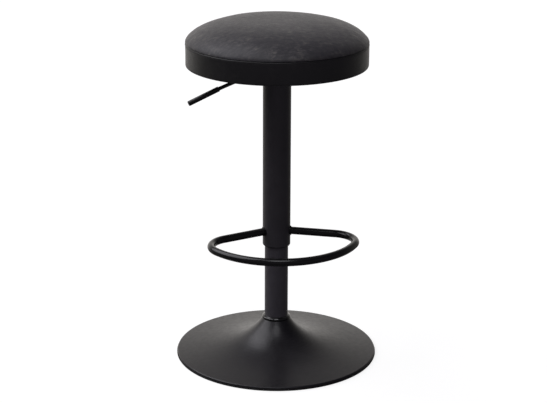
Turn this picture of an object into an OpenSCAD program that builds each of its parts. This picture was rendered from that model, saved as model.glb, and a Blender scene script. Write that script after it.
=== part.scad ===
// Height-adjustable bar stool: weighted trumpet base, gas-spring column under a steel cover
// tube with a welded footrest, and a round upholstered seat with a side lever.
// Millimetres, +Z up. The origin is the centre of the base on the floor, and the front of
// the stool, where the footrest reaches out, faces -Y. The lever is at the sitter's right, -X.

/* [Base] */
// Outer diameter of the floor ring
base_d = 438.5; // [420:0.5:450]
// Height of the neck where the base meets the column
neck_h = 79; // [74:1:84]
// Slope of the outer dish, rise over run
dish_slope = 0.11; // [0.09:0.01:0.14]
// Length over which the flare below the neck fades into the dish
flare_run = 37; // [30:1:42]
// Sheet thickness of the base shell
shell_t = 2; // [1.5:0.1:2.5]

/* [Column] */
// Outer diameter of the fixed column tube
column_d = 50.8; // [50:0.1:51.5]
// Top end of the fixed column tube
column_top = 440; // [430:1:446]
// Outer diameter of the sliding cover tube
cover_d = 60; // [60:0.5:62]
// Lower end of the cover tube, with the seat as drawn
cover_z = 250.8; // [245:0.1:270]
// Diameter of the gas spring's pressure tube
pressure_d = 28; // [28:0.1:28.4]

/* [Footrest] */
// Outer diameter of the footrest tube
foot_d = 16.5; // [14:0.5:19]
// Height of the footrest's centreline, with the seat as drawn
foot_z = 282; // [278:1:320]
// Forward sweep of the two arms, degrees
arm_sweep = 21.5; // [18:0.5:24]
// Centreline radius of the two corners
corner_r = 53; // [46:1:56]
// Centreline radius of the front bow
bow_r = 168; // [160:1:176]
// Half of the angle that the front bow spans, degrees
bow_half = 59.5; // [56:0.5:62]

/* [Seat] */
// Outer diameter of the seat at its seam
seat_d = 385; // [370:1:390]
// Underside of the seat board
board_z = 650; // [650:1:652]
// Height of the seam above the underside
seam_h = 49; // [44:1:55]
// Height of the crown above the seam
crown_h = 46.4; // [35:0.1:50]
// How long the crown stays level before it falls to the seam
crown_shoulder = 3.1; // [2.6:0.1:3.6]
// How sharply the crown falls at the seam
crown_edge = 0.67; // [0.6:0.01:0.8]

/* [Lever] */
// Diameter of the lever rod
lever_d = 8; // [7:0.5:8]
// Diameter of the hand grip
grip_d = 11.2; // [10:0.1:13]
// Length of the hand grip
grip_len = 72; // [60:1:76]
// Height of the lever where it crosses the valve
lever_z = 629; // [629:0.1:629.4]
// Distance of the lever's pivot from the column's centre
pivot_x = 30; // [30:0.5:31]

/* [Hidden] */
$fn = 96;
eps = 0.01;

// Floor ring and rim of the base
ring_r = base_d / 2;
ring_wall = 1;
ring_in_r = ring_r - 12.5;
ring_h = 4.2;
rim_r = ring_r - ring_wall;
rim_curl = 3;
rim_z = 8.3;
dish_r = rim_r - rim_curl;
neck_r = 30.5;
lip_z = 2;

// Hub under the neck
hub_r = 28.5;
hub_top = neck_h - 2;
column_r = column_d / 2;
column_in_r = column_r - 2.4;
column_foot = 14;
brace_z = 6;
brace_t = 3;
brace_top = brace_z + brace_t;
ballast_in_r = 80;
ballast_r = 135;
ballast_bolt_r = 105;
brace_count = 3;

// Glossy collar on the neck
collar_top = neck_h + 8;

// Gas spring
end_cap_t = 6;
race_z = column_foot + end_cap_t;
race_t = 2;
ball_r = 1.9;
ball_gap = 4;
ball_count = 9;
ball_ring_r = 8;
spindle_z = race_z + 2 * race_t + ball_gap;
rod_r = 5;
rod_foot_r = 4;
rod_foot = column_foot - 5.2;
piston_z = 330;
piston_h = 14;
rod_tail_r = 3.5;
rod_top = piston_z + 21;
pressure_r = pressure_d / 2;
pressure_in_r = pressure_r - 2;
pressure_foot = 182;
cone_z = 577;
cone_top = 619;
cone_half_angle = 1.4379;
bush_len = 68;
running = 0.08;

// Cover tube
cover_r = cover_d / 2;
cover_in_r = cover_r - 2;
cover_top = 613;
edge_r = 0.8;

// Footrest
foot_r = foot_d / 2;
foot_wall = 1.5;
arm_y = -8;
arm_x = sqrt(pow(cover_r, 2) - pow(arm_y, 2));
corner_turn = 180 - arm_sweep - bow_half;
bow_lead = 3;
arm_len = ((bow_r - corner_r) * sin(bow_half) + bow_lead * cos(bow_half) + corner_r * sin(arm_sweep) - arm_x)
    / cos(arm_sweep);
arm_bury = 6;
bend_thin = 0.05;
weld_t = 2.2;
weld_r = foot_r + 1.9;

// Seat
vinyl_t = 1.3;
seam_r = seat_d / 2;
hem_z = board_z - 1;
seam_z = hem_z + seam_h + 1;
band_r = seam_r - 0.7;
band_in_r = band_r - vinyl_t;
board_t = 12;
board_r = band_in_r - 0.4;
foam_r = band_in_r;
hem_in_r = 160;
dust_r = 172;
dust_t = 0.6;
dust_z = hem_z - dust_t;
staple_count = 36;
staple_r = 168;

// Seat pan and its fixings
pan_top = dust_z;
sheet_t = 2.5;
pan_floor = cover_top + 0.5;
pan_x = 54;
pan_y = 34;
flange_x = 82;
flange_y = 70;
bolt_x = 65;
bolt_y = 55;
bolt_r = 3;
washer_t = 1.2;
head_h = 4;
tee_r = 3.9;
tee_flange_r = 9.5;
tee_flange_t = 1.2;
socket_r = 19;
socket_foot = 588;

// Lever and valve
lever_r = lever_d / 2;
eye_r = 5.5;
pivot_r = 2.5;
pin_r = 4;
pin_nose_r = 3;
pin_foot = 600;
pin_top = lever_z - lever_r - 0.8;
ear_y = 7;
// Each step is the straight run, then the turn in degrees and its centreline radius
lever_steps = [[16, 22, 40], [65, 3, 40], [2, 0, 0]];
lever_nose = 6;

// ---------------------------------------------------------------- shared shapes

// A turned ring between two radii and two heights
module turned(r_in, r_out, z_low, z_high) {
    rotate_extrude()
        translate([r_in, z_low])
            square([r_out - r_in, z_high - z_low]);
}

// A solid of revolution from its half section
module lathe(points) {
    rotate_extrude()
        polygon(points);
}

// A flat plate with round corners, centred in X and Y
module round_plate(half_x, half_y, corner, z_low, z_high) {
    translate([0, 0, z_low])
        linear_extrude(height = z_high - z_low) {
            square([2 * half_x, 2 * (half_y - corner)], center = true);
            square([2 * (half_x - corner), 2 * half_y], center = true);
            for (sx = [-1, 1], sy = [-1, 1])
                translate([sx * (half_x - corner), sy * (half_y - corner)])
                    circle(r = corner);
        }
}

// A round bar that runs along +X and turns towards -Z at each step. A bend draws the bar
// down a hair, and each straight run reaches into the bends at its ends.
module bent_bar(r, steps, i = 0) {
    run = steps[i][0];
    turn = steps[i][1];
    turn_r = steps[i][2];
    translate([-eps, 0, 0])
        rotate([0, 90, 0])
            cylinder(r = r, h = run + 2 * eps);
    translate([run, 0, 0]) {
        if (turn > 0)
            translate([0, 0, -turn_r])
                rotate([0, -90, -90])
                    rotate_extrude(angle = turn)
                        translate([turn_r, 0])
                            circle(r = r - bend_thin);
        if (i + 1 < len(steps))
            translate([turn_r * sin(turn), 0, turn_r * (cos(turn) - 1)])
                rotate([0, turn, 0])
                    bent_bar(r, steps, i + 1);
    }
}

// Places its children at the four seat bolts
module at_seat_bolts() {
    for (sx = [-1, 1], sy = [-1, 1])
        translate([sx * bolt_x, sy * bolt_y, 0])
            children();
}

// Places its children at the three ballast bolts
module at_ballast_bolts() {
    for (i = [0 : brace_count - 1])
        rotate([0, 0, 90 + i * 360 / brace_count])
            translate([ballast_bolt_r, 0, 0])
                children();
}

// ---------------------------------------------------------------- base

// Height of the base's outer surface: a shallow dish that flares up to the neck
flare_h = (neck_h - rim_z - dish_slope * (dish_r - neck_r)) / (1 - exp(-(dish_r - neck_r) / flare_run));
function flare(r) = flare_h * exp(-(r - neck_r) / flare_run);
function shell_z(r) = rim_z + dish_slope * (dish_r - r) + flare(r) - flare(dish_r);
function shell_fall(r) = dish_slope + flare(r) / flare_run;
function shell_inner(r) =
    let (fall = shell_fall(r), n = sqrt(1 + fall * fall))
    [r - shell_t * fall / n, shell_z(r) - shell_t / n];
// Radii are closer together near the neck, where the surface curves most
shell_steps = 26;
function shell_r(i) = neck_r + (dish_r - neck_r) * pow(i / shell_steps, 1.6);

module base_shell() {
    outer = [for (i = [0 : shell_steps]) [shell_r(i), shell_z(shell_r(i))]];
    inner = [for (i = [shell_steps : -1 : 0]) shell_inner(shell_r(i))];
    curl = [for (a = [75 : -15 : 0]) [dish_r + rim_curl * cos(a), rim_z - rim_curl + rim_curl * sin(a)]];
    curl_in_r = rim_curl - shell_t;
    curl_in = [for (a = [0 : 30 : 60])
        [dish_r + curl_in_r * cos(a), rim_z - rim_curl + curl_in_r * sin(a)]];
    color([0.13, 0.13, 0.135])
        lathe(concat([[hub_r, neck_h]], outer, curl, [[rim_r, lip_z], [rim_r - shell_t, lip_z]],
            curl_in, inner, [[hub_r, shell_inner(neck_r)[1]]]));
}

module floor_ring() {
    color([0.05, 0.05, 0.05])
        lathe([
            [ring_in_r, 0.6], [ring_in_r + 0.6, 0], [ring_r - 1.2, 0], [ring_r - 0.4, 0.4],
            [ring_r, 1.2], [ring_r, ring_h - 0.7], [ring_r - 0.3, ring_h], [rim_r, ring_h],
            [rim_r, lip_z], [rim_r - shell_t, lip_z], [rim_r - shell_t, ring_h - 0.6],
            [ring_in_r + 1, ring_h - 0.6], [ring_in_r, ring_h - 1.6]
        ]);
}

module neck_collar() {
    color([0.03, 0.03, 0.035])
        lathe([
            [column_r, hub_top], [hub_r, hub_top], [hub_r, neck_h], [neck_r, neck_h],
            [neck_r + 0.3, neck_h + 1.2], [neck_r + 0.3, neck_h + 3.2], [neck_r - 0.2, neck_h + 4.7],
            [neck_r - 1.3, neck_h + 5.8], [neck_r - 2.7, neck_h + 6.4], [column_r + 0.8, neck_h + 7.2],
            [column_r + 0.6, collar_top], [column_r, collar_top]
        ]);
}

module hub_tube() {
    color([0.2, 0.2, 0.2])
        turned(column_r, hub_r, brace_top, hub_top);
}

// Three flat bars that tie the hub to the underside of the dish
module base_brace() {
    arm_end = 188;
    arm_w = 26;
    color([0.2, 0.2, 0.2])
        difference() {
            translate([0, 0, brace_z])
                union() {
                    cylinder(r = 40, h = brace_t);
                    for (i = [0 : brace_count - 1])
                        rotate([0, 0, 90 + i * 360 / brace_count])
                            translate([0, -arm_w / 2, 0])
                                cube([arm_end, arm_w, brace_t]);
                }
            translate([0, 0, brace_z - 1])
                cylinder(r = 14, h = brace_t + 2);
            at_ballast_bolts()
                translate([0, 0, brace_z - 1])
                    cylinder(r = bolt_r + 0.2, h = brace_t + 2);
        }
}

module ballast_ring() {
    color([0.25, 0.25, 0.26])
        difference() {
            lathe([
                [ballast_in_r, brace_top], [ballast_r, brace_top], [ballast_r, 15.5],
                [ballast_in_r + 30, 21], [ballast_in_r, 21]
            ]);
            at_ballast_bolts()
                translate([0, 0, brace_top - 1])
                    cylinder(r = bolt_r, h = 10);
        }
}

module ballast_bolts() {
    color([0.7, 0.7, 0.68])
        at_ballast_bolts() {
            translate([0, 0, brace_z - head_h])
                cylinder(r = 5.6, h = head_h, $fn = 6);
            translate([0, 0, brace_z - eps])
                cylinder(r = bolt_r, h = brace_t + 9);
        }
}

// ---------------------------------------------------------------- column and gas spring

module column_tube() {
    color([0.12, 0.12, 0.125])
        turned(column_in_r, column_r, column_foot, column_top);
}

module column_end_cap() {
    color([0.6, 0.6, 0.6])
        turned(rod_foot_r + 0.3, column_in_r, column_foot, race_z);
}

module guide_bush() {
    flange_r = column_r - 0.8;
    bore_r = pressure_r + running;
    color([0.15, 0.15, 0.15])
        lathe([
            [bore_r, column_top - bush_len], [column_in_r, column_top - bush_len],
            [column_in_r, column_top], [flange_r, column_top], [flange_r, column_top + 2],
            [flange_r - 0.5, column_top + 2.5], [bore_r, column_top + 2.5]
        ]);
}

module lower_bearing_race() {
    color([0.75, 0.75, 0.75])
        turned(rod_foot_r + 0.2, 12, race_z, race_z + race_t);
}

module upper_bearing_race() {
    color([0.75, 0.75, 0.75])
        turned(rod_foot_r, 12, spindle_z - race_t, spindle_z);
}

module bearing_cage() {
    mid = race_z + race_t + ball_gap / 2;
    color([0.75, 0.6, 0.3])
        difference() {
            turned(rod_foot_r + 0.5, 11.5, mid - 0.6, mid + 0.6);
            for (i = [0 : ball_count - 1])
                rotate([0, 0, i * 360 / ball_count])
                    translate([ball_ring_r, 0, mid - 2])
                        cylinder(r = ball_r + 0.15, h = 4);
        }
}

module bearing_balls() {
    color([0.8, 0.8, 0.8])
        for (i = [0 : ball_count - 1])
            rotate([0, 0, i * 360 / ball_count])
                translate([ball_ring_r, 0, race_z + race_t + ball_gap / 2])
                    sphere(r = ball_r);
}

module piston_rod() {
    groove_z = rod_foot + 1.4;
    color([0.8, 0.8, 0.82])
        lathe([
            [0, rod_foot], [rod_foot_r - 0.5, rod_foot], [rod_foot_r, rod_foot + 0.5],
            [rod_foot_r, groove_z], [rod_foot_r - 1, groove_z], [rod_foot_r - 1, groove_z + 1.4],
            [rod_foot_r, groove_z + 1.4], [rod_foot_r, spindle_z], [rod_r, spindle_z],
            [rod_r, piston_z], [rod_tail_r, piston_z], [rod_tail_r, rod_top - 0.5],
            [rod_tail_r - 0.5, rod_top], [0, rod_top]
        ]);
}

module clip_washer() {
    color([0.7, 0.7, 0.7])
        turned(rod_foot_r, 10, rod_foot + 2.8, column_foot - 0.3);
}

// Open spring clip in the rod's groove
module rod_clip() {
    clip_z = rod_foot + 1.4;
    color([0.4, 0.4, 0.4])
        difference() {
            turned(rod_foot_r - 1, 7.5, clip_z, clip_z + 1.3);
            translate([0, -2.2, clip_z - 1])
                cube([10, 4.4, 4]);
        }
}

module bump_stop() {
    stop_top = pressure_foot - 121;
    color([0.08, 0.08, 0.08])
        lathe([
            [rod_r, spindle_z], [12.2, spindle_z], [13, spindle_z + 1.5], [12, spindle_z + 10],
            [13, spindle_z + 17], [12.5, stop_top - 1], [11.5, stop_top], [rod_r, stop_top]
        ]);
}

module piston() {
    piston_r = pressure_in_r - 0.2;
    ring_low = piston_z + 5.6;
    ring_top = ring_low + 2.6;
    color([0.75, 0.75, 0.7])
        lathe([
            [rod_tail_r, piston_z], [piston_r - 0.6, piston_z], [piston_r, piston_z + 0.6],
            [piston_r, ring_low], [piston_r - 2.2, ring_low], [piston_r - 2.2, ring_top],
            [piston_r, ring_top], [piston_r, piston_z + piston_h - 0.6],
            [piston_r - 0.6, piston_z + piston_h], [rod_tail_r, piston_z + piston_h]
        ]);
}

module piston_seal() {
    color([0.05, 0.05, 0.05])
        rotate_extrude()
            translate([pressure_in_r - 1.2, piston_z + 6.9])
                circle(r = 1.15, $fn = 32);
}

module piston_nut() {
    nut_z = piston_z + piston_h;
    color([0.7, 0.7, 0.7])
        difference() {
            translate([0, 0, nut_z])
                cylinder(r = 6.35, h = 5, $fn = 6);
            translate([0, 0, nut_z - 1])
                cylinder(r = rod_tail_r, h = 7);
        }
}

// Radius of the gas spring's locking cone at a height
function cone_r(z) = pressure_r - (z - cone_z) * tan(cone_half_angle);

module pressure_tube() {
    color([0.1, 0.1, 0.1])
        lathe([
            [pressure_in_r, pressure_foot], [pressure_r, pressure_foot], [pressure_r, cone_z],
            [cone_r(cone_top), cone_top], [pressure_in_r, cone_top]
        ]);
}

module rod_guide() {
    color([0.2, 0.2, 0.2])
        turned(rod_r + running, pressure_in_r, pressure_foot + 1, pressure_foot + 15);
}

module rod_seal() {
    color([0.05, 0.05, 0.05])
        turned(rod_r + running, pressure_in_r, pressure_foot + 15, pressure_foot + 21);
}

module valve_body() {
    color([0.72, 0.6, 0.3])
        turned(pin_r + running, pressure_in_r, cone_top - 29, cone_top - 1);
}

module release_pin() {
    color([0.75, 0.75, 0.75])
        lathe([
            [0, pin_foot], [pin_r - 0.5, pin_foot], [pin_r, pin_foot + 0.5],
            [pin_r, pin_top - 2.2], [pin_nose_r, pin_top - 0.7], [pin_nose_r - 1, pin_top], [0, pin_top]
        ]);
}

// ---------------------------------------------------------------- cover tube and footrest

module cover_tube() {
    color([0.12, 0.12, 0.125])
        lathe([
            [cover_in_r, cover_z], [cover_r - edge_r, cover_z], [cover_r - edge_r * 0.3, cover_z + edge_r * 0.3],
            [cover_r, cover_z + edge_r], [cover_r, cover_top - edge_r],
            [cover_r - edge_r, cover_top], [cover_in_r, cover_top]
        ]);
}

// Disc inside the cover tube that wedges on the gas spring's cone
module cover_tube_cap() {
    cap_z = cone_z + 2;
    cap_top = cap_z + 5;
    color([0.2, 0.2, 0.2])
        lathe([
            [cone_r(cap_z), cap_z], [cover_in_r, cap_z], [cover_in_r, cap_top], [cone_r(cap_top), cap_top]
        ]);
}

module glide_bush() {
    bore_r = column_r + 0.15;
    color([0.06, 0.06, 0.06])
        lathe([
            [bore_r, cover_z - 1.5], [cover_r - 1.4, cover_z - 1.5], [cover_r - 0.9, cover_z - 0.9],
            [cover_r - 0.9, cover_z], [cover_in_r, cover_z], [cover_in_r, cover_z + 38],
            [bore_r + 0.6, cover_z + 38], [bore_r, cover_z + 37.4]
        ]);
}

// Starts its children on the right arm's axis, at the skin of the cover tube
module on_arm_axis() {
    translate([arm_x, arm_y, foot_z])
        rotate([-90, 0, -arm_sweep])
            children();
}

module footrest() {
    steps = [
        [arm_len + arm_bury, corner_turn, corner_r], [bow_lead, 2 * bow_half, bow_r],
        [bow_lead, corner_turn, corner_r], [arm_len + arm_bury, 0, 0]
    ];
    color([0.07, 0.07, 0.075])
        difference() {
            on_arm_axis()
                translate([-arm_bury, 0, 0])
                    bent_bar(foot_r, steps);
            on_arm_axis()
                translate([-arm_bury, 0, 0])
                    bent_bar(foot_r - foot_wall, steps);
            translate([0, 0, foot_z - 20])
                cylinder(r = cover_r, h = 40);
        }
}

// A saddle-shaped bead where each arm meets the cover tube
module footrest_welds() {
    color([0.07, 0.07, 0.075])
        for (side = [0, 1])
            mirror([side, 0, 0])
                difference() {
                    intersection() {
                        on_arm_axis()
                            translate([-arm_bury, 0, 0])
                                rotate([0, 90, 0])
                                    cylinder(r = weld_r, h = 3 * arm_bury);
                        turned(cover_r, cover_r + weld_t, foot_z - 20, foot_z + 20);
                    }
                    on_arm_axis()
                        translate([-2 * arm_bury, 0, 0])
                            rotate([0, 90, 0])
                                cylinder(r = foot_r, h = 6 * arm_bury);
                }
}

// ---------------------------------------------------------------- seat fixings

module taper_socket() {
    socket_top = cone_top - 1;
    color([0.2, 0.2, 0.2])
        lathe([
            [cone_r(socket_foot), socket_foot], [socket_r, socket_foot], [socket_r, socket_top],
            [cone_r(socket_top), socket_top]
        ]);
}

// Hat-shaped pressing: a flange under the seat and a sunk floor that carries the socket
module seat_pan() {
    corner = 10;
    color([0.1, 0.1, 0.1])
        difference() {
            union() {
                round_plate(flange_x, flange_y, 12, pan_top - sheet_t, pan_top);
                round_plate(pan_x, pan_y, corner, pan_floor, pan_top - sheet_t + eps);
            }
            round_plate(pan_x - sheet_t, pan_y - sheet_t, corner - sheet_t, pan_floor + sheet_t, pan_top + 1);
            translate([0, 0, pan_floor - 1])
                cylinder(r = socket_r, h = sheet_t + 2);
            translate([-pan_x - 1, -7.5, lever_z - 7])
                cube([sheet_t + 2, 15, 17]);
            at_seat_bolts()
                translate([0, 0, pan_top - sheet_t - 1])
                    cylinder(r = bolt_r + 0.4, h = sheet_t + 2);
        }
}

// Two ears on the pan's floor that carry the lever's pivot
module lever_bracket() {
    foot_top = pan_floor + sheet_t;
    color([0.1, 0.1, 0.1])
        difference() {
            union() {
                translate([-pivot_x - 10, -ear_y - sheet_t, foot_top])
                    cube([18, 2 * (ear_y + sheet_t), 2]);
                for (y = [-ear_y - sheet_t, ear_y])
                    translate([-pivot_x - 7, y, foot_top])
                        cube([14, sheet_t, lever_z - foot_top + 6]);
            }
            translate([-pivot_x, 0, lever_z])
                rotate([90, 0, 0])
                    cylinder(r = pivot_r, h = 30, center = true);
        }
}

module lever_pivot_pin() {
    outside = ear_y + sheet_t;
    color([0.75, 0.75, 0.75])
        translate([-pivot_x, 0, lever_z])
            rotate([-90, 0, 0])
                lathe([
                    [0, -outside - 2], [pivot_r - 0.5, -outside - 2], [pivot_r, -outside - 1.5],
                    [pivot_r, outside], [pivot_r + 1.4, outside], [pivot_r + 1.4, outside + 1], [0, outside + 1.4]
                ]);
}

module seat_bolts() {
    head_top = pan_top - sheet_t - washer_t;
    color([0.7, 0.7, 0.68])
        at_seat_bolts() {
            translate([0, 0, head_top - head_h])
                cylinder(r = 5.6, h = head_h, $fn = 6);
            translate([0, 0, head_top - eps])
                cylinder(r = bolt_r, h = 17);
        }
}

module bolt_washers() {
    color([0.75, 0.75, 0.73])
        at_seat_bolts()
            turned(bolt_r, 7, pan_top - sheet_t - washer_t, pan_top - sheet_t);
}

module tee_nuts() {
    board_top = board_z + board_t;
    color([0.75, 0.75, 0.73])
        at_seat_bolts() {
            turned(bolt_r, tee_r, board_z + 1.5, board_top);
            turned(tee_r - eps, tee_flange_r, board_top - tee_flange_t, board_top);
        }
}

module seat_board() {
    board_top = board_z + board_t;
    color([0.75, 0.6, 0.42])
        difference() {
            turned(0, board_r, board_z, board_top);
            at_seat_bolts() {
                translate([0, 0, board_z - 1])
                    cylinder(r = tee_r, h = board_t + 2);
                translate([0, 0, board_top - tee_flange_t])
                    cylinder(r = tee_flange_r, h = 2);
            }
        }
}

module dust_cover() {
    color([0.06, 0.06, 0.06])
        difference() {
            turned(0, dust_r, dust_z, hem_z);
            at_seat_bolts()
                translate([0, 0, dust_z - 1])
                    cylinder(r = bolt_r + 0.2, h = 3);
        }
}

module staples() {
    color([0.7, 0.7, 0.7])
        for (i = [0 : staple_count - 1])
            rotate([0, 0, i * 360 / staple_count])
                translate([staple_r, 0, dust_z - 0.3])
                    cube([1.1, 10, 0.6], center = true);
}

// ---------------------------------------------------------------- upholstery

// Half section of the crown: level in the middle, falling steeply to the seam
crown_steps = 22;
function crown_curve(r_edge, height) = [for (i = [crown_steps : -1 : 0])
    let (s = sin(90 * i / crown_steps))
    [r_edge * s, seam_z + height * pow(max(0, 1 - pow(s, crown_shoulder)), crown_edge)]];

module seat_foam() {
    foam_z = board_z + board_t;
    color([0.85, 0.8, 0.6])
        lathe(concat([[0, foam_z], [foam_r, foam_z]], crown_curve(foam_r, crown_h - vinyl_t - 0.3)));
}

module cover_top_panel() {
    inner = crown_curve(seam_r - vinyl_t, crown_h - vinyl_t);
    color([0.1, 0.1, 0.1])
        lathe(concat(crown_curve(seam_r, crown_h), [for (i = [crown_steps : -1 : 0]) inner[i]]));
}

// Side band, turned under the board in a hem
module cover_side_band() {
    color([0.07, 0.07, 0.07])
        lathe([
            [hem_in_r, hem_z], [band_r - 1, hem_z], [band_r - 0.3, hem_z + 0.3], [band_r, hem_z + 1],
            [band_r, seam_z], [band_in_r, seam_z], [band_in_r, board_z], [hem_in_r, board_z]
        ]);
}

// ---------------------------------------------------------------- lever

// Starts its children at the pivot, running towards the sitter's right
module at_pivot() {
    translate([-pivot_x, 0, lever_z])
        rotate([0, 0, 180])
            children();
}

module lever_rod() {
    color([0.06, 0.06, 0.06])
        difference() {
            union() {
                at_pivot()
                    bent_bar(lever_r, concat(
                        [lever_steps[0], lever_steps[1]], [[grip_len - 3, 0, 0]]));
                translate([-pivot_x - eps, 0, lever_z])
                    rotate([0, 90, 0])
                        cylinder(r = lever_r, h = pivot_x + lever_nose);
                translate([-pivot_x, 0, lever_z])
                    rotate([90, 0, 0])
                        cylinder(r = eye_r, h = 2 * ear_y - 3, center = true);
            }
            translate([-pivot_x, 0, lever_z])
                rotate([90, 0, 0])
                    cylinder(r = pivot_r + 0.05, h = 30, center = true);
        }
}

// Sleeve over the rod's last straight run
module lever_grip() {
    run_a = lever_steps[0];
    run_b = lever_steps[1];
    end_r = grip_d / 2;
    color([0.05, 0.05, 0.05])
        at_pivot()
            translate([run_a[0] + run_a[2] * sin(run_a[1]), 0, run_a[2] * (cos(run_a[1]) - 1)])
                rotate([0, run_a[1], 0])
                    translate([run_b[0] + run_b[2] * sin(run_b[1]), 0, run_b[2] * (cos(run_b[1]) - 1)])
                        rotate([0, run_b[1], 0])
                            rotate([0, 90, 0])
                                lathe([
                                    [lever_r, 0.5], [end_r - 0.6, 0.5], [end_r, 1.1],
                                    [end_r, grip_len - 2], [end_r - 0.6, grip_len - 0.6],
                                    [end_r - 1.8, grip_len], [0, grip_len], [0, grip_len - 3],
                                    [lever_r, grip_len - 3]
                                ]);
}

// ---------------------------------------------------------------- nodes

base_shell();
floor_ring();
neck_collar();
hub_tube();
base_brace();
ballast_ring();
ballast_bolts();
column_tube();
column_end_cap();
guide_bush();
lower_bearing_race();
piston_rod();
upper_bearing_race();
bearing_cage();
bearing_balls();
bump_stop();
piston();
piston_seal();
piston_nut();
clip_washer();
rod_clip();
pressure_tube();
rod_guide();
rod_seal();
valve_body();
cover_tube();
cover_tube_cap();
glide_bush();
footrest();
footrest_welds();
taper_socket();
seat_pan();
lever_bracket();
lever_pivot_pin();
seat_bolts();
bolt_washers();
tee_nuts();
seat_board();
dust_cover();
staples();
seat_foam();
cover_top_panel();
cover_side_band();
lever_rod();
lever_grip();
release_pin();
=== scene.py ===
# %% [markdown]
# # A gas-lift bar stool
#
# This notebook dresses a bar stool whose metalwork is already drawn to size: a trumpet base, two
# tubes that slide in each other, a loop footrest, a lever and a round upholstered seat. What is
# left to make here is what a drawing of solids can't give: the soft seat, its seam and stitches,
# the cloth under it, and the finish of every part.

# %% Load the drawn parts
import math

import bpy
import numpy as np
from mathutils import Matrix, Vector


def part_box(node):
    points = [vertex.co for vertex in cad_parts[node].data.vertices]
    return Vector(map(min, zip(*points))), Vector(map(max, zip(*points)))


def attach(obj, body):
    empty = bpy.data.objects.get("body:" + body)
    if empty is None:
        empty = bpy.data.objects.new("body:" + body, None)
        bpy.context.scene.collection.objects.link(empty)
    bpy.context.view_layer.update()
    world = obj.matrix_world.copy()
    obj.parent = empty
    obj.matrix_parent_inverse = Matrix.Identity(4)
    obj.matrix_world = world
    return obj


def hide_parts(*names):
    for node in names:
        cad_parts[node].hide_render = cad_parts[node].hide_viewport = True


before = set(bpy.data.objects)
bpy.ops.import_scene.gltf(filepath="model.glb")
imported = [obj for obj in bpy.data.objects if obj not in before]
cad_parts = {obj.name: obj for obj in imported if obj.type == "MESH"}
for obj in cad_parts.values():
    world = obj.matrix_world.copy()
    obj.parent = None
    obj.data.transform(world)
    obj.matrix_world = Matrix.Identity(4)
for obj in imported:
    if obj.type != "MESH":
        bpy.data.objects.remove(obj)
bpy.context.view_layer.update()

# %% [markdown]
# ## Where we look from
#
# A long lens from a standing person's eye height, a little to the sitter's right, keeps the
# column's edges nearly parallel. The camera turns about Z first, then tips down.

# %% Camera
camera_data = bpy.data.cameras.new("camera")
camera_data.lens = 106.0
camera_data.sensor_width = 36.0
camera = bpy.data.objects.new("camera", camera_data)
camera.location = (-0.5397, -3.2541, 1.4251)
camera.rotation_euler = (math.radians(71.889), math.radians(-0.18), math.radians(-9.241))
bpy.context.scene.collection.objects.link(camera)
bpy.context.scene.camera = camera
print("camera at", tuple(camera.location), "lens", camera_data.lens)

# %% [markdown]
# ## Surfaces from arrays
#
# Every new piece below is a grid of points that numpy works out in one go. A grid needs few
# helpers: one puts points round the axis, one lists the four-sided faces between its rows, and the
# others hand points and faces to Blender and read them back.

# %% Grid helpers
def around(radius, angle, height):
    """Points (radius cos angle, radius sin angle, height), as an array (..., 3)."""
    radius, angle, height = np.broadcast_arrays(radius, angle, height)
    return np.stack([radius * np.cos(angle), radius * np.sin(angle), height], axis=-1)


def grid_faces(rows, columns, closed_rows=False, closed_columns=True):
    """Corner numbers of the faces of a grid: face (i, j) joins points (i, j), (i, j+1), (i+1, j+1)
    and (i+1, j), and the last row or column joins the first where the grid closes on itself."""
    i, j = np.meshgrid(
        np.arange(rows if closed_rows else rows - 1),
        np.arange(columns if closed_columns else columns - 1),
        indexing="ij",
    )
    next_i, next_j = (i + 1) % rows, (j + 1) % columns
    corners = [(i, j), (i, next_j), (next_i, next_j), (next_i, j)]
    return np.stack([row * columns + column for row, column in corners], axis=-1).reshape(-1, 4)


def make_piece(name, points, faces):
    """A smooth-shaded mesh object from an (n, 3) array of points and a list of faces."""
    mesh = bpy.data.meshes.new(name)
    mesh.from_pydata(points.reshape(-1, 3).tolist(), [], [list(map(int, f)) for f in faces])
    mesh.update()
    mesh.polygons.foreach_set("use_smooth", np.full(len(mesh.polygons), True))
    piece = bpy.data.objects.new(name, mesh)
    bpy.context.scene.collection.objects.link(piece)
    return piece


def read_points(mesh):
    """The mesh's points, as an array (n, 3)."""
    points = np.empty(len(mesh.vertices) * 3, np.float32)
    mesh.vertices.foreach_get("co", points)
    return points.reshape(-1, 3).astype(float)


def subdivide(piece, levels=1):
    """Finishes a piece with a subdivision surface, the same in the view and in the render."""
    modifier = piece.modifiers.new("rounding", "SUBSURF")
    modifier.levels = modifier.render_levels = levels


# %% [markdown]
# ## The seat's crown
#
# The real crown is a disc of coated cloth pulled over a foam dome and sewn to a side band. A
# sphere or a squashed cylinder would get its edge wrong: the crown is nearly level in the middle
# and falls almost straight at the seam. So its height follows one formula, on a disc of
# squares bent to circles, which has no pole in the middle where cloth would bunch.

# %% The crown's height
top_low, top_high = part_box("cover_top_panel")
band_low, band_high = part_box("cover_side_band")
board_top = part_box("seat_board")[1].z
seam_radius = top_high.x
seam_height = top_low.z
crown_rise = top_high.z - top_low.z
crown_shoulder, crown_edge = 3.1, 0.67
band_radius = seam_radius - 0.0001
print(f"seam radius {seam_radius:.4f} m at {seam_height:.4f} m, crown {crown_rise:.4f} m high")


def crown_height(radius):
    """z = seam + rise * (1 - s^shoulder)^edge, where s is the radius over the seam's radius. With
    a higher shoulder the crown stays level for longer, and with a lower edge it ends steeper."""
    s = np.clip(radius / seam_radius, 0, 1)
    return seam_height + crown_rise * (1 - s**crown_shoulder) ** crown_edge


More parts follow.
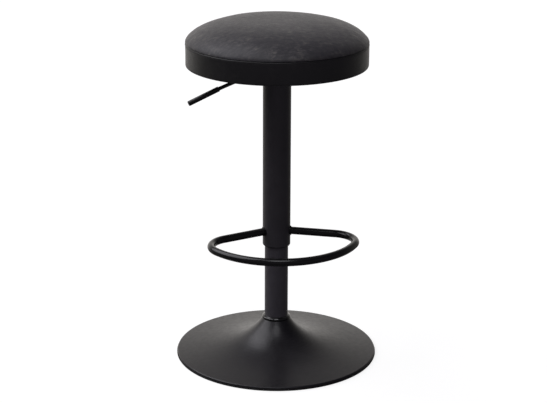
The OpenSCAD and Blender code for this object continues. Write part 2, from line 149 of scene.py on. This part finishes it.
def round_disc(squares):
    """A square grid bent to a disc. Point (a, b) of the square goes to the circle whose radius is
    the larger of |a| and |b|, at an angle that grows evenly along each side of the square.
    Returns the circle's fraction of the full radius and the angle, both (n, n)."""
    side = np.linspace(-1, 1, squares + 1)
    a, b = np.meshgrid(side, side, indexing="ij")
    wide = np.abs(a) > np.abs(b)
    safe_a, safe_b = np.where(a == 0, 1, a), np.where(b == 0, 1, b)
    signed = np.where(wide, a, b)
    angle = np.where(wide, b / safe_a, 2 - a / safe_b) * np.pi / 4
    angle = np.where((a == 0) & (b == 0), 0, angle)
    return np.abs(signed), angle + np.where(signed < 0, np.pi, 0)


# %% Lay out the crown's points
disc_squares = 88
share, turn = round_disc(disc_squares)
disc_radius = seam_radius * np.sin(share * np.pi / 2)
disc = around(disc_radius, turn, crown_height(disc_radius))
disc_columns = disc_squares + 1
ring_of_point = np.rint(share * disc_squares / 2).astype(int).ravel()
print("crown disc:", disc.shape[0] * disc.shape[1], "points")

# The rim of the disc in order of angle, where the tucked-under part starts
rim_points = np.flatnonzero(ring_of_point == disc_squares // 2)
rim_angle = np.arctan2(disc[..., 1].ravel()[rim_points], disc[..., 0].ravel()[rim_points])
rim_points = rim_points[np.argsort(rim_angle)]
rim_angle = np.sort(rim_angle)

# %% [markdown]
# Below the seam the cover turns in under itself, down the foam's side to the plywood board. A
# second, flat disc of the same squares closes the pad across the board. One face with hundreds of
# corners would close it too, but subdividing such a face is very slow.

# %% The crown as one closed pad
foot = board_top - seam_height
tuck_in, tuck_down = np.array([
    # how far in from the seam's radius, and the height from the seam
    [0.0002, -0.0010], [0.0010, -0.0019], [0.0022, -0.0023], [0.0034, -0.0026],
    [0.0042, -0.0040], [0.0044, -0.0100], [0.0046, foot + 0.002], [0.0060, foot + 0.0004],
]).T
skirt = around((seam_radius - tuck_in)[:, None], rim_angle, (seam_height + tuck_down)[:, None])
disc_faces = grid_faces(disc_columns, disc_columns, closed_columns=False)
start = disc_columns * disc_columns
bottom = start + skirt.shape[0] * len(rim_angle)
closing_share = 0.96
under = disc * (closing_share, closing_share, 0) + (0, 0, board_top + 0.0003)
skirt_points = np.arange(start, bottom).reshape(len(skirt), -1)
skirt_rows = np.vstack([rim_points, skirt_points, bottom + rim_points])
upper, lower = skirt_rows[:-1], skirt_rows[1:]
skirt_faces = np.stack([lower, np.roll(lower, -1, 1), np.roll(upper, -1, 1), upper], axis=-1)
crown = make_piece(
    "seat_crown",
    np.vstack([part.reshape(-1, 3) for part in (disc, skirt, under)]),
    np.vstack([disc_faces, skirt_faces.reshape(-1, 4), bottom + disc_faces[:, ::-1]]),
)
print("crown pad:", len(crown.data.vertices), "points,", len(crown.data.polygons), "faces")

# %% [markdown]
# ## Letting the cover settle
#
# A formula gives a lifeless dome. Real cover cloth is cut a touch large and pushed out by the
# foam, so it gathers a little at the seam. Blender's Cloth does that: the cloth is held from the
# seam down, is one and a half per cent too large, and is blown up from inside for twenty steps.
# What is kept is only each point's difference from the mean of its circle, smoothed as the foam
# under it would smooth it and scaled to half a millimetre, so the crown stays at its drawn height
# while the unevenness is the cloth's own.

# %% Cloth simulation on the crown
def settle_cloth(piece, held, frames=20):
    """Runs Cloth with pressure on the piece and returns where its points end, as (n, 3)."""
    group = piece.vertex_groups.new(name="held")
    group.add([int(i) for i in held], 1.0, "REPLACE")
    cloth = piece.modifiers.new("cloth", "CLOTH")
    cloth.settings.quality = 5
    cloth.settings.mass = 0.35
    cloth.settings.tension_stiffness = cloth.settings.compression_stiffness = 12
    cloth.settings.shear_stiffness = 6
    cloth.settings.bending_stiffness = 0.6
    cloth.settings.use_pressure = True
    cloth.settings.uniform_pressure_force = 4
    cloth.settings.shrink_min = -0.015
    cloth.settings.vertex_group_mass = "held"
    cloth.settings.effector_weights.gravity = 0
    cloth.point_cache.frame_start, cloth.point_cache.frame_end = 1, frames
    for frame_number in range(1, frames + 1):
        bpy.context.scene.frame_set(frame_number)
    settled = read_points(piece.evaluated_get(bpy.context.evaluated_depsgraph_get()).data)
    piece.modifiers.remove(cloth)
    bpy.context.scene.frame_set(1)
    return settled


smoothing_passes = 14
most_uneven = 0.0005
crown_points = read_points(crown.data)
unevenness = np.zeros(start)
settled = settle_cloth(crown, range(start, len(crown_points)))
counts = np.bincount(ring_of_point)
ring_mean = np.bincount(ring_of_point, settled[:start, 2]) / counts
unevenness = (settled[:start, 2] - ring_mean[ring_of_point]).reshape(disc_columns, disc_columns)
for _ in range(smoothing_passes):
    padded = np.pad(unevenness, 1, mode="edge")
    unevenness = (4 * unevenness + padded[2:, 1:-1] + padded[:-2, 1:-1]
                  + padded[1:-1, 2:] + padded[1:-1, :-2]) / 8
unevenness = unevenness.ravel()
unevenness *= most_uneven / np.abs(unevenness).max()
print(f"cloth rose by {1000 * (settled[:start, 2] - crown_points[:start, 2]).max():.1f} mm, "
          f"unevenness {1000 * np.abs(unevenness).max():.2f} mm")

# %% [markdown]
# The sewing draws the cover in at each stitch, so there are faint gathers all round that die out
# within a few centimetres of the seam. They are a sum of waves round the rim, with set phases so
# that the seat comes out the same each time. Two slower waves, which are nothing at the middle and
# at the seam, keep the dome from being perfectly round.

# %% Gathers along the seam
waves = np.random.default_rng(7)
gather_counts = np.array([19, 31, 43, 58, 73, 97])
gather_phases = waves.uniform(0, 2 * np.pi, len(gather_counts))
gather_sizes = np.array([0.22, 0.2, 0.17, 0.13, 0.1, 0.07]) * 1e-3


def gathers(angle, distance, reach):
    """Sum over the waves of size * sin(count * angle + phase), times exp(-distance / reach)."""
    wave = np.sin(angle[..., None] * gather_counts + gather_phases) @ gather_sizes
    return wave * np.exp(-distance / reach)


point_angle = np.arctan2(crown_points[:start, 1], crown_points[:start, 0])
point_radius = np.hypot(crown_points[:start, 0], crown_points[:start, 1])
from_seam = seam_radius - point_radius
gathered = gathers(point_angle, from_seam, reach=0.016) * np.clip(from_seam / 0.004, 0, 1)
sway = 0.0006 * np.sin(2 * point_angle + 0.7) + 0.0004 * np.sin(3 * point_angle + 2.1)
out_share = (point_radius / seam_radius) ** 2
crown_points[:start, 2] += unevenness + gathered + sway * 4 * out_share * (1 - out_share)
crown.data.vertices.foreach_set("co", crown_points.astype(np.float32).ravel())
crown.data.update()
subdivide(crown)
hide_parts("cover_top_panel", "seat_foam")
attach(crown, "carriage")

# %% [markdown]
# ## The side band
#
# The band is one strip of the same cover. Its top edge is folded in and sewn to the crown, which
# leaves a narrow dark line between two soft rolls, and its lower edge is turned under the
# board in a hem that is pleated to get round the curve. The section below is carried round the
# axis, and the pleats are waves that grow towards the hem's inner edge.

# %% The band's section and surface
hem_inner, hem_outer = 0.160, 0.187
low, high = band_low.z, band_high.z
band_section = np.array([
    # up the outside, from the hem's inner edge
    [hem_inner, low], [0.170, low], [0.180, low], [hem_outer, low],
    [band_radius - 0.0012, low + 0.00015], [band_radius - 0.0004, low + 0.0007],
    [band_radius, low + 0.0020], [band_radius, low + 0.0080], [band_radius, low + 0.0180],
    [band_radius, low + 0.0300], [band_radius, high - 0.0110], [band_radius, high - 0.0060],
    [band_radius - 0.0003, high - 0.0051], [band_radius, high - 0.0042],
    [band_radius + 0.0001, high - 0.0034], [band_radius - 0.0004, high - 0.0025],
    [band_radius - 0.0014, high - 0.0020], [band_radius - 0.0026, high - 0.0024],
    # and down the inside
    [band_radius - 0.0031, high - 0.0036], [band_radius - 0.0028, high - 0.0120],
    [band_radius - 0.0026, low + 0.0060], [band_radius - 0.0024, low + 0.0022],
    [0.186, low + 0.0009], [hem_inner, low + 0.0009],
])
band_turns = 360
band_angle = np.linspace(0, 2 * np.pi, band_turns, endpoint=False)


def side_band(section, angle):
    """Point (k, j) is section point k turned to angle j. Above the hem the radius gains long slow
    waves; on the hem the height gains pleats that grow from nothing at the edge to 0.4 mm inside;
    at the back, where the strip's ends are sewn, it dips by 0.6 mm over 2 mm."""
    radius, height = section[:, :1], section[:, 1:]
    on_side = (radius > band_radius - 0.0006) & (height > low + 0.001)
    slow = 0.00022 * np.sin(3 * angle + 0.5) + 0.00016 * np.sin(7 * angle + 1.9)
    slow = slow + 0.0001 * np.sin(16 * angle)
    level = np.clip((high - height) / (high - low), 0, 1)
    back_seam = np.exp(-(((angle - np.pi / 2) * band_radius / 0.0012) ** 2))
    inward = np.clip((hem_outer - radius) / (hem_outer - hem_inner), 0, 1)
    pleats = 0.0004 * (0.5 + 0.5 * np.sin(36 * angle + 0.4 * np.sin(5 * angle)))
    radius = radius + on_side * slow * np.sin(np.pi * level) - on_side * 0.0006 * back_seam
    return around(radius, angle, height + inward * pleats * (height < low + 0.0005))


band = make_piece("seat_band", side_band(band_section, band_angle),
                  grid_faces(len(band_section), band_turns, closed_rows=True))
subdivide(band)
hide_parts("cover_side_band")
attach(band, "carriage")
print("side band:", len(band.data.vertices), "points")

# %% [markdown]
# ## Stitches
#
# A single line of black thread holds the band's folded edge, 3 mm below its top. Each stitch is
# the same little spindle, seven rings of six points, so 260 of them are one array product instead
# of 260 objects.

# %% Thread along the seam
stitch_count, stitch_length = 260, 0.0036
along = np.linspace(-1, 1, 7)
thread_width = 0.00038 * np.sqrt(np.clip(1 - 0.98 * along**4, 0, 1))
round_thread = np.linspace(0, 2 * np.pi, 6, endpoint=False)


def stitches(count, radius, height, length):
    """Spindle n lies along the circle at angle 2 pi n / count. A point at share s of its half
    length, at angle t round it, is out by width(s) cos t and up by width(s) sin t, and the ends
    dip into the band by 0.12 mm."""
    middle = 2 * np.pi * np.arange(count)[:, None, None] / count
    s, width = along[:, None], thread_width[:, None]
    outward = radius - 0.00012 * s**2 + width * np.cos(round_thread)
    return around(outward, middle + s * length / 2 / radius, height + width * np.sin(round_thread))


stitch_points = stitches(stitch_count, band_radius + 0.0001, high - 0.0054, stitch_length)
first_ring = np.arange(len(round_thread))
points_each = len(along) * len(round_thread)
offsets = points_each * np.arange(stitch_count)[:, None, None]
ends = np.array([first_ring[::-1], points_each - len(round_thread) + first_ring])
stitch_faces = (grid_faces(len(along), len(round_thread)) + offsets).reshape(-1, 4).tolist()
stitch_faces += (ends + offsets).reshape(-1, len(round_thread)).tolist()
thread = make_piece("seam_stitches", stitch_points, stitch_faces)
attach(thread, "carriage")
print("stitches:", stitch_count)

# %% [markdown]
# ## The dust cover
#
# Black non-woven cloth is stapled under the board to hide the foam. The pan clamps its middle
# flat, and between the pan and the hem it hangs a millimetre or so. It is stretched by hand, so
# the sag is uneven. A cloth simulation would move it less than the weave's own thickness, so the
# sag is a formula.

# %% Dust cover
cloth_low, cloth_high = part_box("dust_cover")
cloth_radius = cloth_high.x
clamped_radius, staple_margin, deepest_sag = 0.112, 0.006, 0.0013
cloth_squares = 48
cloth_share, cloth_turn = round_disc(cloth_squares)
cloth_r = cloth_radius * cloth_share
free_width = cloth_radius - staple_margin - clamped_radius
outside_pan = np.clip((cloth_r - clamped_radius) / free_width, 0, 1)
uneven_pull = 1 + 0.35 * np.sin(3 * cloth_turn) + 0.2 * np.sin(8 * cloth_turn + 1)
sag = deepest_sag * np.sin(np.pi * outside_pan) * uneven_pull
dust_cover = make_piece("dust_cloth", around(cloth_r, cloth_turn, cloth_low.z + 0.0002 - sag),
                        grid_faces(cloth_squares + 1, cloth_squares + 1, closed_columns=False))
thickness = dust_cover.modifiers.new("thickness", "SOLIDIFY")
thickness.thickness, thickness.offset = 0.0004, 1.0
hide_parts("dust_cover")
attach(dust_cover, "carriage")
print(f"dust cover: {2 * cloth_radius:.3f} m across, sags by up to {1000 * sag.max():.1f} mm")

# %% [markdown]
# ## Finishes
#
# Every finish is a Principled shader fed by noise in the object's own coordinates, so a pattern
# keeps its real size in metres and stays on its part. The small builder below makes the node
# wiring short: it adds nodes, and links one socket to another. Colour ramps and mixes come from
# two functions of their own, because the sky uses them too.

# %% Shader helpers
def fill_ramp(ramp, stops):
    """Sets a colour ramp's stops, each a position and a colour or a grey."""
    while len(ramp.elements) < len(stops):
        ramp.elements.new(0.5)
    for element, (position, shade) in zip(ramp.elements, stops):
        element.position = position
        element.color = (*shade, 1) if isinstance(shade, tuple) else (shade, shade, shade, 1)


def mix_colours(tree, share, first, second, kind="MIX"):
    """A mix whose share and two colours are each a socket or a constant. With the kind MIX it is
    first where share is 0 and second where it is 1. Returns the socket of the result."""
    node = tree.nodes.new("ShaderNodeMix")
    node.data_type, node.blend_type = "RGBA", kind
    colours = [s for s in node.inputs if s.type == "RGBA"]
    for socket, value in zip([node.inputs["Factor"], *colours], [share, first, second]):
        if isinstance(value, bpy.types.NodeSocket):
            tree.links.new(value, socket)
        else:
            socket.default_value = (*value, 1) if isinstance(value, tuple) else value
    return next(s for s in node.outputs if s.type == "RGBA")


class Finish:
    """A material being wired: add(type) makes a node, link(a, b) joins two sockets."""

    def __init__(self, name, roughness=0.5, metallic=0.0, **fixed):
        self.material = bpy.data.materials.new(name)
        self.material.use_nodes = True
        self.tree = self.material.node_tree
        self.shader = self.tree.nodes["Principled BSDF"]
        self.shader.inputs["Roughness"].default_value = roughness
        self.shader.inputs["Metallic"].default_value = metallic
        for socket, value in fixed.items():
            self.shader.inputs[socket.replace("_", " ")].default_value = value
        self.place = self.tree.nodes.new("ShaderNodeTexCoord").outputs["Object"]
        self.height = None

    def add(self, kind, **inputs):
        node = self.tree.nodes.new("ShaderNode" + kind)
        for socket, value in inputs.items():
            node.inputs[socket].default_value = value
        return node

    def link(self, source, target):
        self.tree.links.new(source, target)

    def stretched(self, scale):
        """The object's coordinates scaled by a different amount along each axis."""
        node = self.add("Mapping")
        node.inputs["Scale"].default_value = scale
        self.link(self.place, node.inputs["Vector"])
        return node.outputs["Vector"]

    def noise(self, scale, detail=3.0, rough=0.55, place=None):
        node = self.add("TexNoise", Scale=scale, Detail=detail, Roughness=rough)
        self.link(place or self.place, node.inputs["Vector"])
        return node.outputs["Fac"]

    def cells(self, scale, feature="F1"):
        node = self.add("TexVoronoi", Scale=scale)
        node.feature = feature
        self.link(self.place, node.inputs["Vector"])
        return node.outputs["Distance"]

    def ramp(self, value, stops):
        """A colour or grey that follows a value through the stops (position, colour or grey)."""
        node = self.add("ValToRGB")
        fill_ramp(node.color_ramp, stops)
        self.link(value, node.inputs["Fac"])
        return node.outputs["Color"]

    def blend(self, share, first, second):
        """first where share is 0, second where it is 1."""
        return mix_colours(self.tree, share, first, second)

    def colour(self, source):
        self.link(source, self.shader.inputs["Base Color"])

    def rough(self, source):
        self.link(source, self.shader.inputs["Roughness"])

    def bump(self, source, distance, strength=1.0):
        """Adds relief of that depth in metres on top of any relief that is there already."""
        node = self.add("Bump", Strength=strength, Distance=distance)
        self.link(source, node.inputs["Height"])
        if self.height is not None:
            self.link(self.height, node.inputs["Normal"])
        self.height = node.outputs["Normal"]
        self.link(self.height, self.shader.inputs["Normal"])


def dress(finish, *names):
    """Gives the finish to drawn parts and to new pieces alike."""
    for name in names:
        piece = bpy.data.objects[name]
        piece.data.materials.clear()
        piece.data.materials.append(finish.material)


# %% [markdown]
# ### Worn black cover
#
# The seat is black coated cloth with an aged look: patches and fine scuffs of grey-brown over
# black, stronger on the crown. The crown and the band are the same cloth, yet the crown's black
# is painted lighter, as painted light on the lit top, and the band's darker, as painted shade on
# its side. Under a lens it has a pebbled grain about a millimetre across, with hair-thin creases.
# Large noise places the patches, finer noise breaks them up, and Voronoi cells give the pebbles
# their relief.

# %% Seat cover finish
def cover_finish(name, black, wear, gloss, specular):
    """Black cover: black is the albedo where it is whole, and wear is what the scuffs add."""
    vinyl = Finish(name, roughness=gloss, Specular_IOR_Level=specular)
    patches = vinyl.ramp(vinyl.noise(30, detail=6, rough=0.7), [(0.4, 0.0), (0.64, 1.0)])
    strokes = vinyl.noise(120, detail=6, rough=0.72, place=vinyl.stretched((0.7, 1.4, 1.0)))
    scuffs = vinyl.ramp(strokes, [(0.42, 0.0), (0.62, 1.0)])
    worn = vinyl.blend(vinyl.ramp(patches, [(0.0, 0.25), (1.0, 1.0)]), (0.0, 0.0, 0.0), scuffs)
    grey = black + wear
    vinyl.colour(vinyl.ramp(worn, [
        (0.0, (black, black * 0.95, black * 1.08)),
        (0.5, (grey * 0.8, grey * 0.765, grey * 0.79)),
        (1.0, (grey * 1.5, grey * 1.38, grey * 1.26)),
    ]))
    vinyl.rough(vinyl.ramp(vinyl.noise(110, detail=5), [(0.3, gloss - 0.05), (0.7, gloss + 0.05)]))
    creases = vinyl.ramp(vinyl.cells(260, feature="DISTANCE_TO_EDGE"), [(0.0, 0.0), (0.06, 1.0)])
    vinyl.bump(vinyl.noise(42, detail=3), 0.0005, 0.3)
    vinyl.bump(vinyl.cells(900), 0.0002, 0.45)
    vinyl.bump(creases, 0.0001, 0.35)
    return vinyl


# Crown: real scuffs plus a black painted lighter as painted light. Band: black painted darker as
# painted shade.
dress(cover_finish("worn_black_cover_with_painted_light", black=0.044, wear=0.048, gloss=0.44, specular=0.34),
      "seat_crown")
dress(cover_finish("black_cover_with_painted_shade", black=0.006, wear=0.005, gloss=0.4, specular=0.9),
      "seat_band")

sewing = Finish("black_thread", roughness=0.55)
sewing.colour(sewing.ramp(sewing.noise(1500), [(0.3, 0.012), (0.7, 0.05)]))
sewing.bump(sewing.noise(4000), 0.0001, 0.6)
dress(sewing, "seam_stitches")

fleece = Finish("black_non_woven", roughness=0.95)
fleece.colour(fleece.ramp(fleece.noise(1400, detail=4), [(0.35, 0.008), (0.7, 0.032)]))
fleece.bump(fleece.noise(900, detail=5, place=fleece.stretched((1.0, 3.0, 1.0))), 0.0002, 0.7)
dress(fleece, "dust_cloth")
print("cover, thread and dust cloth finished")

# %% [markdown]
# ### Powder coat
#
# Powder coat flows a little as it bakes, which leaves orange peel: shallow dimples a millimetre
# or two apart, seen only in the reflections. One function makes all the coats, and the numbers
# set how dark, how glossy and how dimpled each one is. The tube's and the column's coats are
# painted lighter than the black they share, as painted light.

# %% Painted metal
def powder_coat(name, dark, light, gloss, peel=0.00003, specular=0.5, dimple=620):
    """A coat between two colours, with a roughness near gloss and dimples peel metres deep."""
    coat = Finish(name, roughness=gloss, Specular_IOR_Level=specular)
    coat.colour(coat.ramp(coat.noise(38, detail=6, rough=0.65), [(0.35, dark), (0.7, light)]))
    coat.rough(coat.ramp(coat.noise(110, detail=4), [(0.3, gloss - 0.04), (0.7, gloss + 0.05)]))
    coat.bump(coat.noise(dimple, detail=2), peel, 0.5)
    return coat


deep_black = (0.006, 0.006, 0.0065), (0.010, 0.010, 0.0105)
dress(powder_coat("charcoal_coat", (0.0095, 0.0086, 0.0110), (0.0145, 0.0132, 0.0160), 0.34),
      "base_shell")
# The cover tube and the column carry the same black coat. Their colours are painted lighter, the
# column's most, as painted light: it stands in for fill light from the front and, low on the
# column, for light thrown up from the base.
dress(powder_coat("black_tube_coat_painted_light", (0.036, 0.033, 0.0385), (0.047, 0.0430, 0.0500), 0.42,
                  specular=1.0), "cover_tube")
dress(powder_coat("black_column_coat_painted_light", (0.066, 0.061, 0.072), (0.082, 0.076, 0.088), 0.42,
                  specular=1.0), "column_tube")
dress(powder_coat("gloss_footrest_coat", *deep_black, 0.2, peel=0.00002), "footrest")
dress(powder_coat("painted_weld", *deep_black, 0.26, peel=0.0004, dimple=900), "footrest_welds")
dress(powder_coat("black_pan_coat", (0.012, 0.012, 0.012), (0.018, 0.018, 0.018), 0.4),
      "seat_pan", "lever_bracket", "pressure_tube")
dress(powder_coat("black_lever_coat", (0.008, 0.008, 0.008), (0.013, 0.013, 0.013), 0.3),
      "lever_rod")
print("painted metal finished")

# %% [markdown]
# ### Plastics and rubber
#
# Moulded plastic is smoother than paint and slightly uneven where the mould was textured.

# %% Moulded parts
def moulded(name, dark, light, gloss, grain, depth, **fixed):
    """A plastic between two greys. Its mould texture has grain bumps a metre, depth metres high."""
    plastic = Finish(name, roughness=gloss, **fixed)
    plastic.colour(plastic.ramp(plastic.noise(70, detail=4), [(0.3, dark), (0.7, light)]))
    shine = [(0.3, gloss - 0.03), (0.7, gloss + 0.04)]
    plastic.rough(plastic.ramp(plastic.noise(240, detail=3), shine))
    plastic.bump(plastic.noise(grain, detail=3), depth, 0.5)
    return plastic


dress(moulded("gloss_black_collar", 0.004, 0.006, 0.16, 60, 0.00001, Coat_Weight=0.5),
      "neck_collar")
dress(moulded("matt_black_ring", 0.008, 0.014, 0.55, 1600, 0.00008), "floor_ring")
dress(moulded("matt_black_bush", 0.010, 0.018, 0.5, 1500, 0.00005),
      "guide_bush", "glide_bush", "rod_guide")
dress(moulded("black_grip", 0.005, 0.009, 0.3, 2200, 0.00005), "lever_grip")
dress(moulded("black_rubber", 0.010, 0.02, 0.75, 1800, 0.0001),
      "bump_stop", "piston_seal", "rod_seal")
print("plastics and rubber finished")

# %% [markdown]
# ### Bare metals
#
# Turned and drawn steel carries fine scratches in one direction. Stretching the noise along an
# axis gives those scratches, and the roughness follows them.

# %% Steel, zinc, iron, brass
def bare_metal(name, dark, light, gloss, scratch=(1.0, 1.0, 14.0), depth=0.00002, metallic=1.0):
    """A metal between two colours, with relief depth metres deep stretched along the scratch."""
    metal = Finish(name, roughness=gloss, metallic=metallic)
    lines = metal.noise(260, detail=4, place=metal.stretched(scratch))
    metal.colour(metal.ramp(metal.noise(45, detail=5, rough=0.65), [(0.3, dark), (0.7, light)]))
    metal.rough(metal.ramp(lines, [(0.3, gloss - 0.05), (0.7, gloss + 0.08)]))
    metal.bump(lines, depth, 0.5)
    return metal


dress(bare_metal("drawn_steel", (0.30, 0.30, 0.31), (0.42, 0.42, 0.43), 0.38),
      "hub_tube", "base_brace", "column_end_cap", "cover_tube_cap", "taper_socket", "rod_clip")
dress(bare_metal("bright_zinc", (0.52, 0.53, 0.54), (0.68, 0.68, 0.66), 0.3),
      "ballast_bolts", "seat_bolts", "bolt_washers", "tee_nuts", "staples", "piston_nut",
      "clip_washer", "lever_pivot_pin", "release_pin")
dress(bare_metal("ground_bearing_steel", (0.55, 0.55, 0.57), (0.66, 0.66, 0.68), 0.16),
      "lower_bearing_race", "upper_bearing_race", "bearing_balls")
dress(bare_metal("hard_chrome", (0.72, 0.72, 0.75), (0.8, 0.8, 0.82), 0.07), "piston_rod")
dress(bare_metal("turned_aluminium", (0.62, 0.62, 0.63), (0.72, 0.72, 0.73), 0.3), "piston")
dress(bare_metal("turned_brass", (0.62, 0.44, 0.18), (0.75, 0.56, 0.26), 0.28),
      "bearing_cage", "valve_body")
dress(bare_metal("cast_iron", (0.035, 0.033, 0.032), (0.085, 0.08, 0.076), 0.62,
                 scratch=(1.0, 1.0, 1.0), depth=0.0003, metallic=0.6), "ballast_ring")
print("bare metals finished")

# %% [markdown]
# ### Plywood
#
# The board's faces show long grain and its edge shows the plies. The grain is noise stretched
# along X, and the plies are bands in Z.

# %% Plywood board
wood = Finish("sanded_plywood", roughness=0.6)
grain = wood.noise(120, detail=5, rough=0.6, place=wood.stretched((0.12, 1.4, 1.0)))
plies = wood.add("TexWave", Scale=110.0, Distortion=0.4)
plies.bands_direction = "Z"
wood.link(wood.place, plies.inputs["Vector"])
pale = wood.ramp(grain, [(0.25, (0.36, 0.24, 0.13)), (0.75, (0.62, 0.46, 0.29))])
dark_share = wood.ramp(plies.outputs["Fac"], [(0.4, 0.0), (0.6, 0.45)])
wood.colour(wood.blend(dark_share, pale, (0.27, 0.17, 0.09)))
wood.bump(grain, 0.0001, 0.5)
dress(wood, "seat_board")
print("plywood finished")

# %% [markdown]
# ## The studio
#
# A pale floor, a very wide softbox from the upper left, a narrower strip over the front, and a sky
# that is bright near the horizon behind, as a curved paper backdrop is, and dimmer above and in
# front. Black satin shows little of its own colour: its shape is read almost only from what it
# reflects, so the sky's gradient matters more than the lamps. The floor is left out of
# reflections, because one sheet of even white would fill the whole lower half of each tube.

# %% Floor and light
floor_reach, floor_height = 9, -0.0005
floor_corners = [(-1, -1), (1, -1), (1, 1), (-1, 1)]
floor_data = bpy.data.meshes.new("floor")
floor_data.from_pydata([(floor_reach * x, floor_reach * y, floor_height) for x, y in floor_corners],
                       [], [(0, 1, 2, 3)])
floor = bpy.data.objects.new("floor", floor_data)
bpy.context.scene.collection.objects.link(floor)
paper = Finish("pale_paper", roughness=0.9, Emission_Color=(1, 1, 1, 1), Emission_Strength=0.84)
paper.colour(paper.ramp(paper.noise(3, detail=2), [(0.3, 0.27), (0.7, 0.29)]))
dress(paper, "floor")
floor.visible_glossy = floor.visible_diffuse = False

world = bpy.data.worlds.new("studio")
world.use_nodes = True
bpy.context.scene.world = world
sky = world.node_tree
background = sky.nodes["Background"]
direction = sky.nodes.new("ShaderNodeTexCoord")
split = sky.nodes.new("ShaderNodeSeparateXYZ")
sky.links.new(direction.outputs["Generated"], split.inputs["Vector"])


def sky_ramp(component, stops):
    """A grey or colour that follows one component of the direction, from -1 at stop 0 to 1 at
    stop 1."""
    spread = sky.nodes.new("ShaderNodeMapRange")
    spread.inputs["From Min"].default_value = -1
    spread.inputs["From Max"].default_value = 1
    ramp = sky.nodes.new("ShaderNodeValToRGB")
    fill_ramp(ramp.color_ramp, stops)
    sky.links.new(split.outputs[component], spread.inputs["Value"])
    sky.links.new(spread.outputs["Result"], ramp.inputs["Fac"])
    return ramp.outputs["Color"]


by_height = sky_ramp("Z", [
    (0.0, 0.9), (0.2, 0.6), (0.29, 0.36), (0.365, 0.36), (0.385, 0.75), (0.41, 0.85),
    (0.48, 0.95), (0.54, 0.85), (0.66, 0.8), (0.72, 0.6), (0.77, 0.45),
    (0.82, (0.32, 0.32, 0.36)), (0.87, (0.35, 0.35, 0.4)), (0.905, (0.5, 0.5, 0.58)),
    (0.97, (0.9, 0.9, 1.0)), (1.0, (0.9, 0.9, 1.0)),
])
by_depth = sky_ramp("Y", [
    (0.0, (0.13, 0.125, 0.15)), (0.3, (0.09, 0.087, 0.104)), (0.5, (0.085, 0.082, 0.098)),
    (0.65, 0.16), (0.75, 0.24), (0.82, 0.32), (0.86, 0.5), (0.9, 0.72), (0.95, 0.95), (1.0, 1.0),
])
product = mix_colours(sky, 1.0, by_height, by_depth, kind="MULTIPLY")
warm = mix_colours(sky, 1.0, product, (1.0, 0.965, 0.925), kind="MULTIPLY")
seen = sky.nodes.new("ShaderNodeLightPath").outputs["Is Camera Ray"]
sky.links.new(mix_colours(sky, seen, warm, (0.93, 0.93, 0.93)), background.inputs["Color"])
background.inputs["Strength"].default_value = 1.1


def soft_sun(name, strength, angle, towards, tint):
    """A very wide distant light that comes from the direction given."""
    data = bpy.data.lights.new(name, "SUN")
    data.energy, data.angle, data.color = strength, math.radians(angle), tint
    lamp = bpy.data.objects.new(name, data)
    lamp.rotation_euler = Vector(towards).to_track_quat("Z", "Y").to_euler()
    bpy.context.scene.collection.objects.link(lamp)
    return lamp


soft_sun("left_softbox", 1.8, 60, (-0.62, 0.19, 0.76), (0.965, 0.955, 1.0))
soft_sun("front_strip", 0.42, 26, (-0.08, -0.5, 0.86), (0.96, 0.96, 1.0))
bpy.context.scene.view_settings.view_transform = "Standard"
print("floor, sky and two lamps in place")
